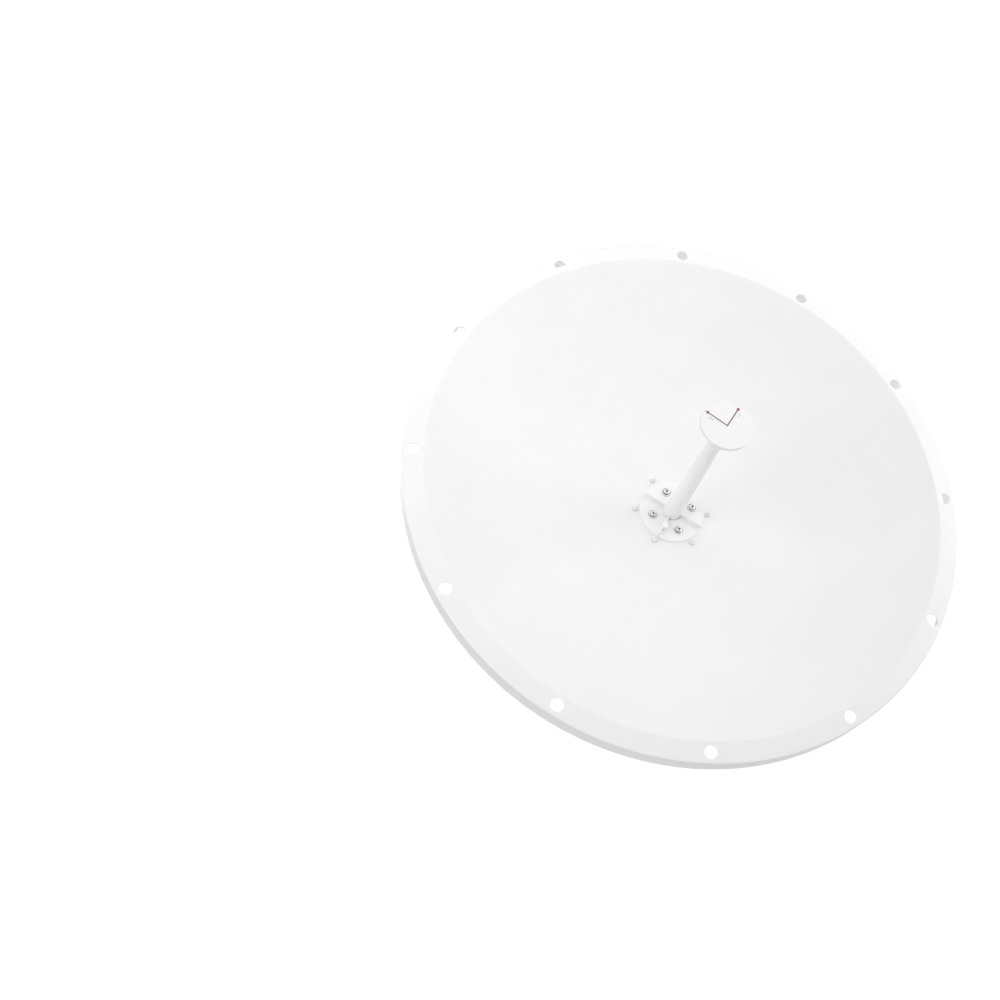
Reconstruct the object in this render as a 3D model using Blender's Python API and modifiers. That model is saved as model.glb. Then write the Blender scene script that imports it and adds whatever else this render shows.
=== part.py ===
"""Parabolic dish antenna: a spun reflector about a metre across, its feed, and the hub behind it.

The antenna looks along -Y and stands upright, +Z up. The origin is the centre of the mounting
plate's flat back face, which bolts to a mast bracket. Every piece is drawn about the boresight,
in the frame of one empty: its z is the distance in front of that back face, its x points to
the right as seen from in front, and its y is up.
"""

import math

import bmesh
import bpy

MM = 0.001
GAP = 0.3 * MM
CUT_MARGIN = 3 * MM

# The reflector, measured on its front surface.
RIM_RADIUS = 525 * MM
CREASE_RADIUS = 489.5 * MM
HUB_FLAT_RADIUS = 84 * MM
BOWL_DEPTH = 159 * MM
SHEET = 2.5 * MM
FLANGE_DROP = 2.0 * MM
EDGE_BEND_RADIUS = 6.0 * MM
LIP_DEPTH = 36 * MM
LIP_FLARE = 2.2 * MM
BOWL_STEPS = 6
BEND_STEPS = 3
REFLECTOR_SEGMENTS = 72

# Holes and fastenings, on circles about the boresight.
RIM_HOLES = 12
RIM_HOLE_CIRCLE = 506.7 * MM
RIM_HOLE_RADIUS = 11.25 * MM
RIVETS = 6
RIVET_CIRCLE = 74 * MM
RIVET_FIRST_ANGLE = 30
RIVET_SHANK_RADIUS = 1.6 * MM
RIVET_HOLE_RADIUS = 1.9 * MM
RIVET_BASE_RADIUS = 5.2 * MM
RIVET_BASE_HEIGHT = 1.3 * MM
RIVET_STUB_RADIUS = 3.7 * MM
RIVET_HEIGHT = 6.8 * MM
RIVET_EDGE = 0.8 * MM
RIVET_MANDREL_RADIUS = 1.3 * MM
RIVET_MANDREL_DEPTH = 3.0 * MM
RIVET_TAIL_HEIGHT = 2.2 * MM
SCREWS = 4
SCREW_CIRCLE = 41.5 * MM
SCREW_FIRST_ANGLE = 45
SCREW_RADIUS = 3.0 * MM
SCREW_HEAD_RADIUS = 6.0 * MM
SCREW_HEAD_HEIGHT = 3.8 * MM
SCREW_HEAD_CROWN = ((0.55, 0.2 * MM), (0.86, 0.9 * MM), (1.0, 2.0 * MM))
SCREW_DEPTH_IN_PILLAR = 15 * MM
CROSS_LENGTH = 6.2 * MM
CROSS_WIDTH = 1.4 * MM
CROSS_DEPTH = 2.2 * MM
FLAT_WASHER_RADIUS = 8.2 * MM
FLAT_WASHER_THICKNESS = 1.2 * MM
SPRING_WASHER_RADIUS = 6.2 * MM
SPRING_WASHER_THICKNESS = 1.3 * MM
SPRING_WASHER_SLOT = 1.0 * MM
SPRING_WASHER_SLOT_ANGLE = 20

# The stack along the boresight, from the mounting face forwards.
PLATE_THICKNESS = 8 * MM
VERTEX_HEIGHT = 80 * MM
RING_THICKNESS = 3 * MM
FLANGE_THICKNESS = 3.2 * MM
CAP_FRONT_ABOVE_RIM = 184 * MM

# Hub pieces.
PLATE_RADIUS = 80 * MM
PLATE_BOLT_CIRCLE = 62 * MM
PLATE_BOLT_HOLE_RADIUS = 4.5 * MM
PLATE_BOLTS = 4
RING_RADIUS = 83 * MM
RING_BORE_RADIUS = 33 * MM
REFLECTOR_BORE_RADIUS = 52 * MM
PILLAR_RADIUS = 9 * MM
PILLAR_BORE_DEPTH = 18 * MM
CLEARANCE = 0.4 * MM
FEED_BODY_RADIUS = 27 * MM
FEED_BODY_BACK = 14 * MM
PAD_WIDTH = 26 * MM
PAD_RADIUS = 30 * MM
CONNECTOR_HEIGHT = 42 * MM

# Feed pieces, in front of the reflector.
FLANGE_RADIUS = 65 * MM
RIB_HEIGHT = 10 * MM
RIB_THICKNESS = 3 * MM
RIB_END_RADIUS = 62 * MM
RIB_BOSS_RADIUS = 6.0 * MM
RIB_BOSS_HEIGHT = 37 * MM
RIB_BOSS_OFFSET = 3 * MM
TUBE_BASE_RADIUS = 18.2 * MM
TUBE_TOP_RADIUS = 12.3 * MM
CONE_START_ABOVE_RIM = 119 * MM
CONE_END_RADIUS = 42 * MM
CONE_RIM_HEIGHT = 2 * MM
CAP_RADIUS = 46.2 * MM
CAP_THICKNESS = 5.2 * MM
CAP_EDGE = 0.8 * MM

# Coaxial connectors, one for each polarisation.
CONNECTOR_FLANGE_SIDE = 24 * MM
CONNECTOR_FLANGE_THICKNESS = 2.4 * MM
CONNECTOR_BARREL_RADIUS = 7.9 * MM
CONNECTOR_LENGTH = 22 * MM
CONNECTOR_BORE_RADIUS = 4.4 * MM
CONNECTOR_BORE_DEPTH = 9 * MM
CONTACT_RADIUS = 1.6 * MM
CONTACT_SETBACK = 3.5 * MM

SMALL_SEGMENTS = 16
TUBE_SEGMENTS = 36
CAP_SEGMENTS = 48
SHARP_ANGLE = math.radians(32)

RIM_HEIGHT = VERTEX_HEIGHT + BOWL_DEPTH
CAP_FRONT = RIM_HEIGHT + CAP_FRONT_ABOVE_RIM
SHEET_BACK = VERTEX_HEIGHT - SHEET
RING_FRONT = SHEET_BACK - GAP
RING_BACK = RING_FRONT - RING_THICKNESS
PILLAR_FRONT = RING_BACK - GAP
PILLAR_BACK = PLATE_THICKNESS + GAP
FLANGE_BACK = VERTEX_HEIGHT + GAP
FLANGE_FRONT = FLANGE_BACK + FLANGE_THICKNESS
SPIGOT_RADIUS = REFLECTOR_BORE_RADIUS - CLEARANCE
SCREW_BORE_RADIUS = SCREW_RADIUS + CLEARANCE


def clear_scene():
    """Empties the scene that Blender starts with."""
    for old in list(bpy.data.objects):
        bpy.data.objects.remove(old)


def new_collection(name):
    """A collection linked to the scene."""
    made = bpy.data.collections.new(name)
    bpy.context.scene.collection.children.link(made)
    return made


def new_material(name, colour, roughness, metallic=0.0):
    """A Principled BSDF of one colour."""
    made = bpy.data.materials.new(name)
    made.use_nodes = True
    shader = made.node_tree.nodes["Principled BSDF"]
    shader.inputs["Base Color"].default_value = (*colour, 1.0)
    shader.inputs["Roughness"].default_value = roughness
    shader.inputs["Metallic"].default_value = metallic
    made.diffuse_color = (*colour, 1.0)
    return made


clear_scene()
PARTS = new_collection("parabolic_dish_antenna")
CUTTERS = new_collection("cutters")

BORESIGHT = bpy.data.objects.new("boresight", None)
BORESIGHT.rotation_euler = (math.radians(90), 0, 0)
PARTS.objects.link(BORESIGHT)

WHITE_PAINT = new_material("white_powder_coat", (0.86, 0.86, 0.86), 0.42)
WHITE_PLASTIC = new_material("white_plastic", (0.84, 0.84, 0.84), 0.48)
STAINLESS = new_material("stainless_steel", (0.62, 0.61, 0.60), 0.28, 1.0)
ALUMINIUM = new_material("plain_aluminium", (0.74, 0.75, 0.76), 0.38, 1.0)
NICKEL = new_material("nickel_plate", (0.72, 0.70, 0.66), 0.25, 1.0)


def on_circle(radius, degrees):
    """The point at this angle on a circle about the boresight, from the right towards the top."""
    angle = math.radians(degrees)
    return radius * math.cos(angle), radius * math.sin(angle)


def circle_points(count, radius, first_angle=0.0):
    """Equally spaced points on a circle about the boresight."""
    step = 360 / count
    return [on_circle(radius, first_angle + step * i) for i in range(count)]


def place(obj, x=0.0, y=0.0, z=0.0):
    """Puts a part in the boresight's frame, at a point of it."""
    obj.parent = BORESIGHT
    obj.location = (x, y, z)
    return obj


def profile_object(name, points, closed, collection=PARTS):
    """An object whose mesh is a line of edges in its own XZ plane."""
    count = len(points)
    edges = [(i, i + 1) for i in range(count - 1)]
    if closed:
        edges.append((count - 1, 0))
    mesh = bpy.data.meshes.new(name)
    mesh.from_pydata([(radius, 0, height) for radius, height in points], edges, [])
    obj = bpy.data.objects.new(name, mesh)
    collection.objects.link(obj)
    return obj


def turned(name, points, segments, closed=False, collection=PARTS):
    """A profile spun about z. Its points run down the outer side, from top to bottom."""
    obj = profile_object(name, points, closed, collection)
    screw = obj.modifiers.new("spin", "SCREW")
    screw.axis = "Z"
    screw.angle = math.radians(360)
    screw.steps = segments
    screw.render_steps = segments
    screw.use_merge_vertices = True
    screw.merge_threshold = 0.00001
    screw.use_smooth_shade = False
    return obj


def ring_profile(inner, outer, low, high):
    """A rectangle between two radii and two heights, its outer side run downwards."""
    return [(inner, high), (outer, high), (outer, low), (inner, low)]


def box(name, size, centre, turn_degrees=0.0, collection=PARTS):
    """A box of this size, centred on a point of its object's frame and turned about z."""
    mesh = bpy.data.meshes.new(name)
    shape = bmesh.new()
    bmesh.ops.create_cube(shape, size=1.0)
    bmesh.ops.scale(shape, vec=size, verts=shape.verts)
    bmesh.ops.translate(shape, vec=centre, verts=shape.verts)
    shape.to_mesh(mesh)
    shape.free()
    obj = bpy.data.objects.new(name, mesh)
    obj.rotation_euler = (0, 0, math.radians(turn_degrees))
    collection.objects.link(obj)
    return obj


def cylinders(name, centres, radius, low, high, segments=SMALL_SEGMENTS, collection=CUTTERS):
    """Upright cylinders in one mesh, one at each of these points."""
    mesh = bpy.data.meshes.new(name)
    shape = bmesh.new()
    for x, y in centres:
        made = bmesh.ops.create_cone(
            shape, cap_ends=True, segments=segments, radius1=radius, radius2=radius, depth=high - low
        )
        bmesh.ops.translate(shape, vec=(x, y, (low + high) / 2), verts=made["verts"])
    shape.to_mesh(mesh)
    shape.free()
    obj = bpy.data.objects.new(name, mesh)
    collection.objects.link(obj)
    return obj


def boolean(obj, other, operation="DIFFERENCE"):
    """Cuts another object out of this one, or joins it on. The other becomes a hidden cutter."""
    if other.name in PARTS.objects:
        PARTS.objects.unlink(other)
        CUTTERS.objects.link(other)
    other.hide_render = True
    other.display_type = "WIRE"
    other.parent = BORESIGHT
    modifier = obj.modifiers.new(operation.lower(), "BOOLEAN")
    modifier.operation = operation
    modifier.object = other
    return obj


def finish(obj, material, x=0.0, y=0.0, z=0.0):
    """Applies the modifiers on the boresight, then gives the part its material and its place."""
    place(obj)
    bpy.context.view_layer.update()
    graph = bpy.context.evaluated_depsgraph_get()
    shape = bpy.data.meshes.new_from_object(obj.evaluated_get(graph))
    obj.modifiers.clear()
    obj.data = shape
    shape.materials.clear()
    shape.materials.append(material)
    shape.shade_smooth()
    shape.set_sharp_from_angle(angle=SHARP_ANGLE)
    return place(obj, x, y, z)


def copy_of(obj, name, x, y, z=0.0):
    """A second object on the same mesh."""
    made = bpy.data.objects.new(name, obj.data)
    PARTS.objects.link(made)
    return place(made, x, y, z)


def bowl_height(radius):
    """The front surface of the bowl: flat under the hub, then a parabola up to the crease."""
    if radius <= HUB_FLAT_RADIUS:
        return VERTEX_HEIGHT
    share = (radius**2 - HUB_FLAT_RADIUS**2) / (CREASE_RADIUS**2 - HUB_FLAT_RADIUS**2)
    return VERTEX_HEIGHT + BOWL_DEPTH * share


def reflector_front():
    """The front line of the sheet, from the bore out to the back edge of the turned lip."""
    line = [(REFLECTOR_BORE_RADIUS, VERTEX_HEIGHT)]
    for step in range(BOWL_STEPS + 1):
        radius = HUB_FLAT_RADIUS + (CREASE_RADIUS - HUB_FLAT_RADIUS) * step / BOWL_STEPS
        line.append((radius, bowl_height(radius)))
    bend_height = RIM_HEIGHT - FLANGE_DROP - EDGE_BEND_RADIUS
    for step in range(BEND_STEPS + 1):
        angle = math.radians(90 * (1 - step / BEND_STEPS))
        radius = RIM_RADIUS - EDGE_BEND_RADIUS * (1 - math.cos(angle))
        line.append((radius, bend_height + EDGE_BEND_RADIUS * math.sin(angle)))
    line.append((RIM_RADIUS + LIP_FLARE, RIM_HEIGHT - LIP_DEPTH))
    return line


def make_reflector():
    """The bowl, its flat flange and the lip turned back behind it: one spun and pressed sheet."""
    obj = turned("reflector", reflector_front(), REFLECTOR_SEGMENTS)
    sheet = obj.modifiers.new("sheet", "SOLIDIFY")
    sheet.thickness = SHEET
    sheet.offset = -1.0
    sheet.use_even_offset = True
    low = RIM_HEIGHT - FLANGE_DROP - SHEET - CUT_MARGIN
    high = RIM_HEIGHT + CUT_MARGIN
    centres = circle_points(RIM_HOLES, RIM_HOLE_CIRCLE)
    boolean(obj, cylinders("rim_hole_cutter", centres, RIM_HOLE_RADIUS, low, high))
    boolean(obj, rivet_holes("reflector_rivet_cutter", SHEET_BACK, VERTEX_HEIGHT))
    return finish(obj, WHITE_PAINT)


def rivet_holes(name, low, high):
    """The cutter for the rivet holes through a sheet between these heights."""
    centres = circle_points(RIVETS, RIVET_CIRCLE, RIVET_FIRST_ANGLE)
    low -= CUT_MARGIN
    high += CUT_MARGIN
    return cylinders(name, centres, RIVET_HOLE_RADIUS, low, high, segments=SMALL_SEGMENTS // 2)


def screw_holes(name, low, high):
    """The cutter for the feed screws' holes through a piece between these heights."""
    centres = circle_points(SCREWS, SCREW_CIRCLE, SCREW_FIRST_ANGLE)
    return cylinders(name, centres, SCREW_BORE_RADIUS, low - CUT_MARGIN, high + CUT_MARGIN)


def make_backing_ring():
    """The flat ring behind the sheet that the rivets hold."""
    profile = ring_profile(RING_BORE_RADIUS, RING_RADIUS, RING_BACK, RING_FRONT)
    obj = turned("backing_ring", profile, TUBE_SEGMENTS, closed=True)
    boolean(obj, screw_holes("ring_screw_cutter", RING_BACK, RING_FRONT))
    boolean(obj, rivet_holes("ring_rivet_cutter", RING_BACK, RING_FRONT))
    return finish(obj, WHITE_PAINT)


def make_rivets():
    """Blind rivets through the sheet and the ring: a stub on a round base, with the mandrel's hole."""
    seat = VERTEX_HEIGHT + GAP
    top = seat + RIVET_HEIGHT
    tail_seat = RING_BACK - GAP
    head = [
        (0, top - RIVET_MANDREL_DEPTH),
        (RIVET_MANDREL_RADIUS, top - RIVET_MANDREL_DEPTH),
        (RIVET_MANDREL_RADIUS, top),
        (RIVET_STUB_RADIUS - RIVET_EDGE, top),
        (RIVET_STUB_RADIUS, top - RIVET_EDGE),
        (RIVET_STUB_RADIUS, seat + RIVET_BASE_HEIGHT),
        (RIVET_BASE_RADIUS, seat + RIVET_BASE_HEIGHT),
        (RIVET_BASE_RADIUS, seat),
        (RIVET_SHANK_RADIUS, seat),
    ]
    tail_radius = 1.5 * RIVET_SHANK_RADIUS
    tail = [
        (RIVET_SHANK_RADIUS, tail_seat),
        (tail_radius, tail_seat),
        (tail_radius, tail_seat - RIVET_TAIL_HEIGHT),
        (RIVET_SHANK_RADIUS, tail_seat - 2 * RIVET_TAIL_HEIGHT),
        (0, tail_seat - 2 * RIVET_TAIL_HEIGHT),
    ]
    points = circle_points(RIVETS, RIVET_CIRCLE, RIVET_FIRST_ANGLE)
    first = finish(turned("rivet_1", head + tail, SMALL_SEGMENTS // 2), WHITE_PAINT, *points[0])
    for number, (x, y) in enumerate(points[1:], start=2):
        copy_of(first, f"rivet_{number}", x, y)


def make_feed_flange():
    """The moulded round foot of the feed: a spigot that fits the reflector's bore, ribs and bosses."""
    bore = TUBE_BASE_RADIUS + CLEARANCE
    profile = [
        (bore, FLANGE_FRONT),
        (FLANGE_RADIUS, FLANGE_FRONT),
        (FLANGE_RADIUS, FLANGE_BACK),
        (SPIGOT_RADIUS, FLANGE_BACK),
        (SPIGOT_RADIUS, SHEET_BACK),
        (bore, SHEET_BACK),
    ]
    obj = turned("feed_flange", profile, CAP_SEGMENTS, closed=True)
    sunk = FLANGE_THICKNESS / 2
    rib_length = RIB_END_RADIUS - bore - GAP
    for number in range(4):
        rib = box(
            f"rib_{number}",
            (rib_length, RIB_THICKNESS, RIB_HEIGHT + sunk),
            (bore + GAP + rib_length / 2, 0, FLANGE_FRONT + (RIB_HEIGHT - sunk) / 2),
            turn_degrees=90 * number,
        )
        boolean(obj, rib, "UNION")
    bosses = [(RIB_BOSS_OFFSET, RIB_BOSS_HEIGHT), (RIB_BOSS_OFFSET, -RIB_BOSS_HEIGHT)]
    boss = cylinders("rib_bosses", bosses, RIB_BOSS_RADIUS, FLANGE_FRONT - sunk, FLANGE_FRONT + RIB_HEIGHT)
    boolean(obj, boss, "UNION")
    boolean(obj, screw_holes("flange_screw_cutter", SHEET_BACK, FLANGE_FRONT))
    return finish(obj, WHITE_PLASTIC)


def make_feed():
    """The tapered tube, the cone that opens out of it, and the round cap that closes the cone."""
    cone_start = RIM_HEIGHT + CONE_START_ABOVE_RIM
    cap_back = CAP_FRONT - CAP_THICKNESS
    tube = [
        (0, cone_start - GAP),
        (TUBE_TOP_RADIUS, cone_start - GAP),
        (TUBE_BASE_RADIUS, SHEET_BACK),
        (0, SHEET_BACK),
    ]
    finish(turned("feed_tube", tube, TUBE_SEGMENTS), WHITE_PLASTIC)
    cone = [
        (0, cap_back - GAP),
        (CONE_END_RADIUS, cap_back - GAP),
        (CONE_END_RADIUS, cap_back - GAP - CONE_RIM_HEIGHT),
        (TUBE_TOP_RADIUS, cone_start),
        (0, cone_start),
    ]
    finish(turned("feed_cone", cone, TUBE_SEGMENTS), WHITE_PLASTIC)
    cap = [
        (0, CAP_FRONT),
        (CAP_RADIUS - CAP_EDGE, CAP_FRONT),
        (CAP_RADIUS, CAP_FRONT - CAP_EDGE),
        (CAP_RADIUS, cap_back + CAP_EDGE),
        (CAP_RADIUS - CAP_EDGE, cap_back),
        (0, cap_back),
    ]
    finish(turned("feed_cap", cap, CAP_SEGMENTS), WHITE_PLASTIC)


def cross_recess(name, top):
    """The cutter for a screw's cross recess, from the top of its head down."""
    depth = CROSS_DEPTH + CUT_MARGIN
    centre = (0, 0, top - CROSS_DEPTH + depth / 2)
    arms = [box(f"{name}_{i}", (CROSS_LENGTH, CROSS_WIDTH, depth), centre, 90 * i, CUTTERS) for i in range(2)]
    return boolean(arms[0], arms[1], "UNION")


def make_feed_screws():
    """Pan-head screws that clamp the feed's foot to the pillars, on their washers."""
    points = circle_points(SCREWS, SCREW_CIRCLE, SCREW_FIRST_ANGLE)
    flat_low = FLANGE_FRONT + GAP
    spring_low = flat_low + FLAT_WASHER_THICKNESS + GAP
    head_low = spring_low + SPRING_WASHER_THICKNESS + GAP

    flat = turned(
        "flat_washer_1",
        ring_profile(SCREW_BORE_RADIUS, FLAT_WASHER_RADIUS, flat_low, flat_low + FLAT_WASHER_THICKNESS),
        SMALL_SEGMENTS,
        closed=True,
    )
    finish(flat, STAINLESS, *points[0])

    spring = turned(
        "spring_washer_1",
        ring_profile(
            SCREW_BORE_RADIUS, SPRING_WASHER_RADIUS, spring_low, spring_low + SPRING_WASHER_THICKNESS
        ),
        SMALL_SEGMENTS,
        closed=True,
    )
    slot = box(
        "spring_washer_slot",
        (2 * SPRING_WASHER_RADIUS, SPRING_WASHER_SLOT, 3 * SPRING_WASHER_THICKNESS),
        (SPRING_WASHER_RADIUS, 0, spring_low + SPRING_WASHER_THICKNESS / 2),
        collection=CUTTERS,
    )
    slot.rotation_euler = (0, 0, math.radians(SPRING_WASHER_SLOT_ANGLE))
    boolean(spring, slot)
    finish(spring, STAINLESS, *points[0])

    top = head_low + SCREW_HEAD_HEIGHT
    crown = [(share * SCREW_HEAD_RADIUS, top - drop) for share, drop in SCREW_HEAD_CROWN]
    profile = [
        (0, top),
        *crown,
        (SCREW_HEAD_RADIUS, head_low),
        (SCREW_RADIUS, head_low),
        (SCREW_RADIUS, PILLAR_FRONT - SCREW_DEPTH_IN_PILLAR),
        (0, PILLAR_FRONT - SCREW_DEPTH_IN_PILLAR),
    ]
    screw = turned("feed_screw_1", profile, SMALL_SEGMENTS)
    boolean(screw, cross_recess("feed_screw_recess", top))
    finish(screw, STAINLESS, *points[0])

    for number, (x, y) in enumerate(points[1:], start=2):
        copy_of(flat, f"flat_washer_{number}", x, y)
        copy_of(spring, f"spring_washer_{number}", x, y)
        copy_of(screw, f"feed_screw_{number}", x, y)


def make_pillars():
    """Round pillars between the ring and the mounting plate, bored at both ends for the screws."""
    points = circle_points(SCREWS, SCREW_CIRCLE, SCREW_FIRST_ANGLE)
    profile = [
        (0, PILLAR_FRONT - PILLAR_BORE_DEPTH),
        (SCREW_BORE_RADIUS, PILLAR_FRONT - PILLAR_BORE_DEPTH),
        (SCREW_BORE_RADIUS, PILLAR_FRONT),
        (PILLAR_RADIUS, PILLAR_FRONT),
        (PILLAR_RADIUS, PILLAR_BACK),
        (SCREW_BORE_RADIUS, PILLAR_BACK),
        (SCREW_BORE_RADIUS, PILLAR_BACK + PILLAR_BORE_DEPTH),
        (0, PILLAR_BACK + PILLAR_BORE_DEPTH),
    ]
    first = finish(turned("pillar_1", profile, SMALL_SEGMENTS), ALUMINIUM, *points[0])
    for number, (x, y) in enumerate(points[1:], start=2):
        copy_of(first, f"pillar_{number}", x, y)


def make_mounting_plate():
    """The round plate whose flat back takes the mast bracket, with its four bolt holes."""
    profile = ring_profile(0, PLATE_RADIUS, 0, PLATE_THICKNESS)
    obj = turned("mounting_plate", profile, CAP_SEGMENTS)
    bolts = cylinders(
        "plate_bolt_cutter",
        circle_points(PLATE_BOLTS, PLATE_BOLT_CIRCLE),
        PLATE_BOLT_HOLE_RADIUS,
        -CUT_MARGIN,
        PLATE_THICKNESS + CUT_MARGIN,
    )
    boolean(obj, bolts)
    sink_radius = SCREW_HEAD_RADIUS + CLEARANCE
    for number, (x, y) in enumerate(circle_points(SCREWS, SCREW_CIRCLE, SCREW_FIRST_ANGLE)):
        profile = [
            (0, PLATE_THICKNESS + CUT_MARGIN),
            (SCREW_BORE_RADIUS, PLATE_THICKNESS + CUT_MARGIN),
            (SCREW_BORE_RADIUS, sink_radius - SCREW_BORE_RADIUS),
            (sink_radius, 0),
            (sink_radius + CUT_MARGIN, -CUT_MARGIN),
            (0, -CUT_MARGIN),
        ]
        sink = turned(f"countersink_cutter_{number}", profile, SMALL_SEGMENTS, collection=CUTTERS)
        sink.location = (x, y, 0)
        boolean(obj, sink)
    return finish(obj, WHITE_PAINT)


def make_countersunk_screws():
    """Countersunk screws, flush with the mounting face, that hold the plate to the pillars."""
    points = circle_points(SCREWS, SCREW_CIRCLE, SCREW_FIRST_ANGLE)
    head_back = GAP
    cone_height = SCREW_HEAD_RADIUS - SCREW_RADIUS
    tip = PILLAR_BACK + SCREW_DEPTH_IN_PILLAR
    profile = [
        (0, tip),
        (SCREW_RADIUS, tip),
        (SCREW_RADIUS, head_back + cone_height),
        (SCREW_HEAD_RADIUS, head_back),
        (0, head_back),
    ]
    screw = turned("plate_screw_1", profile, SMALL_SEGMENTS)
    boolean(screw, cross_recess("plate_screw_recess", head_back + CROSS_DEPTH / 2))
    finish(screw, STAINLESS, *points[0])
    for number, (x, y) in enumerate(points[1:], start=2):
        copy_of(screw, f"plate_screw_{number}", x, y)


def make_feed_body():
    """The block behind the sheet where the waves leave the feed, with a flat pad for each connector."""
    profile = ring_profile(0, FEED_BODY_RADIUS, FEED_BODY_BACK, RING_FRONT)
    obj = turned("feed_body", profile, TUBE_SEGMENTS)
    for name, degrees in (("side_pad", 180), ("bottom_pad", 270)):
        pad = box(
            name,
            (PAD_RADIUS, PAD_WIDTH, PAD_WIDTH),
            (PAD_RADIUS / 2, 0, CONNECTOR_HEIGHT),
            turn_degrees=degrees,
        )
        boolean(obj, pad, "UNION")
    return finish(obj, ALUMINIUM)


def make_connectors():
    """Flanged coaxial sockets with a centre contact, one out to the side and one out of the bottom."""
    seat = PAD_RADIUS + GAP
    tip = seat + CONNECTOR_LENGTH
    bottom = tip - CONNECTOR_BORE_DEPTH
    contact = tip - CONTACT_SETBACK
    barrel = [
        (0, contact),
        (CONTACT_RADIUS, contact),
        (CONTACT_RADIUS, bottom),
        (CONNECTOR_BORE_RADIUS, bottom),
        (CONNECTOR_BORE_RADIUS, tip),
        (CONNECTOR_BARREL_RADIUS, tip),
        (CONNECTOR_BARREL_RADIUS, seat + CONNECTOR_FLANGE_THICKNESS / 2),
        (0, seat + CONNECTOR_FLANGE_THICKNESS / 2),
    ]
    for name, degrees in (("side", 180), ("bottom", 270)):
        socket = turned(f"{name}_connector", barrel, SMALL_SEGMENTS)
        flange = box(
            f"{name}_connector_flange",
            (CONNECTOR_FLANGE_SIDE, CONNECTOR_FLANGE_SIDE, CONNECTOR_FLANGE_THICKNESS),
            (0, 0, seat + CONNECTOR_FLANGE_THICKNESS / 2),
        )
        boolean(socket, flange, "UNION")
        finish(socket, NICKEL, z=CONNECTOR_HEIGHT)
        socket.rotation_euler = (0, math.radians(90), math.radians(degrees))


def main():
    make_reflector()
    make_backing_ring()
    make_rivets()
    make_feed_flange()
    make_feed()
    make_feed_screws()
    make_pillars()
    make_mounting_plate()
    make_countersunk_screws()
    make_feed_body()
    make_connectors()
    for cutter in list(CUTTERS.objects):
        bpy.data.objects.remove(cutter)
    bpy.data.collections.remove(CUTTERS)


main()
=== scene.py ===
"""Looks of the parabolic dish antenna: fine pieces over its frame, materials, studio light and camera.

Shapes are drawn in millimetres about the boresight: x to the right as seen from in front, y up,
and z the height in front of the mounting face. A bore is given by its radius. A piece is turned into
the scene's axes at the end. The studio's floor, lights and camera are placed in metres in those axes.
"""

import math

import bmesh
import bpy
from mathutils import Matrix, Vector


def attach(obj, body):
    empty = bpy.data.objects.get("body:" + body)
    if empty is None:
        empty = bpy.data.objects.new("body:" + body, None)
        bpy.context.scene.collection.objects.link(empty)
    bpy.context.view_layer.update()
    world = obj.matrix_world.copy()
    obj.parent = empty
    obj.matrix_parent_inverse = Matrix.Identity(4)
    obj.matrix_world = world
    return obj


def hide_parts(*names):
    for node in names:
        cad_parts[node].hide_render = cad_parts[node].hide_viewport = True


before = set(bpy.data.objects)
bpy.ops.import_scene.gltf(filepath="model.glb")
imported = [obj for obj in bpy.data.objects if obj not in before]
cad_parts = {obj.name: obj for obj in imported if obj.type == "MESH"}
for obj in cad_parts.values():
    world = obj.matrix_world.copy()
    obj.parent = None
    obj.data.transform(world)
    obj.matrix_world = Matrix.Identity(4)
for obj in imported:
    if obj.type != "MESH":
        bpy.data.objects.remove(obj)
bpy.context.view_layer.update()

MM = 0.001
TO_SCENE = Matrix.Rotation(math.radians(90), 4, "X") @ Matrix.Scale(MM, 4)

# Sizes of the reflector.
HUB = 80.0
RIM = 239.0
SHEET = 2.5
SHEET_BACK = HUB - SHEET
CREASE_RADIUS = 489.5
CREASE_BEND = 5.0
HUB_FLAT_RADIUS = 84.0
BEND_START = HUB_FLAT_RADIUS - 6
BEND_END = HUB_FLAT_RADIUS + 18
BOWL_SLOPE = (RIM - HUB) / (CREASE_RADIUS**2 - HUB_FLAT_RADIUS**2)
REFLECTOR_BORE = 52.0
EDGE_RADIUS = 526.3
EDGE_HEIGHT = 236.5
EDGE_BEND = 2.8
FLANGE_SLOPE = (EDGE_HEIGHT - RIM) / (EDGE_RADIUS - CREASE_RADIUS)
LIP_BACK_RADIUS = 527.2
LIP_BACK_HEIGHT = 203.0
LIP_END_BULGE = 0.7
RIM_HOLES = 12
RIM_HOLE_CIRCLE = 506.7
RIM_HOLE_RADIUS = 11.25
RIM_HOLE_EDGE = 0.5

# Sizes of the feed's foot.
FLANGE_FRONT = 83.4
FLANGE_RADIUS = 65.0
FOOT_INNER_RADIUS = 15.0
SPIGOT_RADIUS = 51.6
SEAT_GAP = 0.6
SEAT_DEPTH = 2.2
SEAT_OFFSET = 0.5
RIB_START = 14.0
RIB_END = 63.0
RIB_END_BEND = 3.2
RIB_HEIGHT = 10.0
RIB_HALF_WIDTH = 1.6
RIB_TAPER = 0.25
RIB_FILLET = 0.35
RIB_EDGE = 0.6
BOSS_X = 3.9
BOSS_Y = 40.0
BOSS_RADIUS = 6.3
BOSS_HEIGHT = RIB_HEIGHT + 0.6
BOSS_FILLET = 0.3
ROOT_DEPTH = 0.6

# Sizes of the feed's tube, cone and cap.
TUBE_BASE_RADIUS = 18.4
TUBE_TOP_RADIUS = 12.5
CONE_START = RIM + 119.0
CONE_SLEEVE = 9.0
CONE_RADIUS = 42.0
CAP_FRONT = RIM + 184.0
CAP_THICKNESS = 7.6
CAP_BACK = CAP_FRONT - CAP_THICKNESS
CAP_RADIUS = 46.5
CAP_EDGE = 0.6

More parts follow.
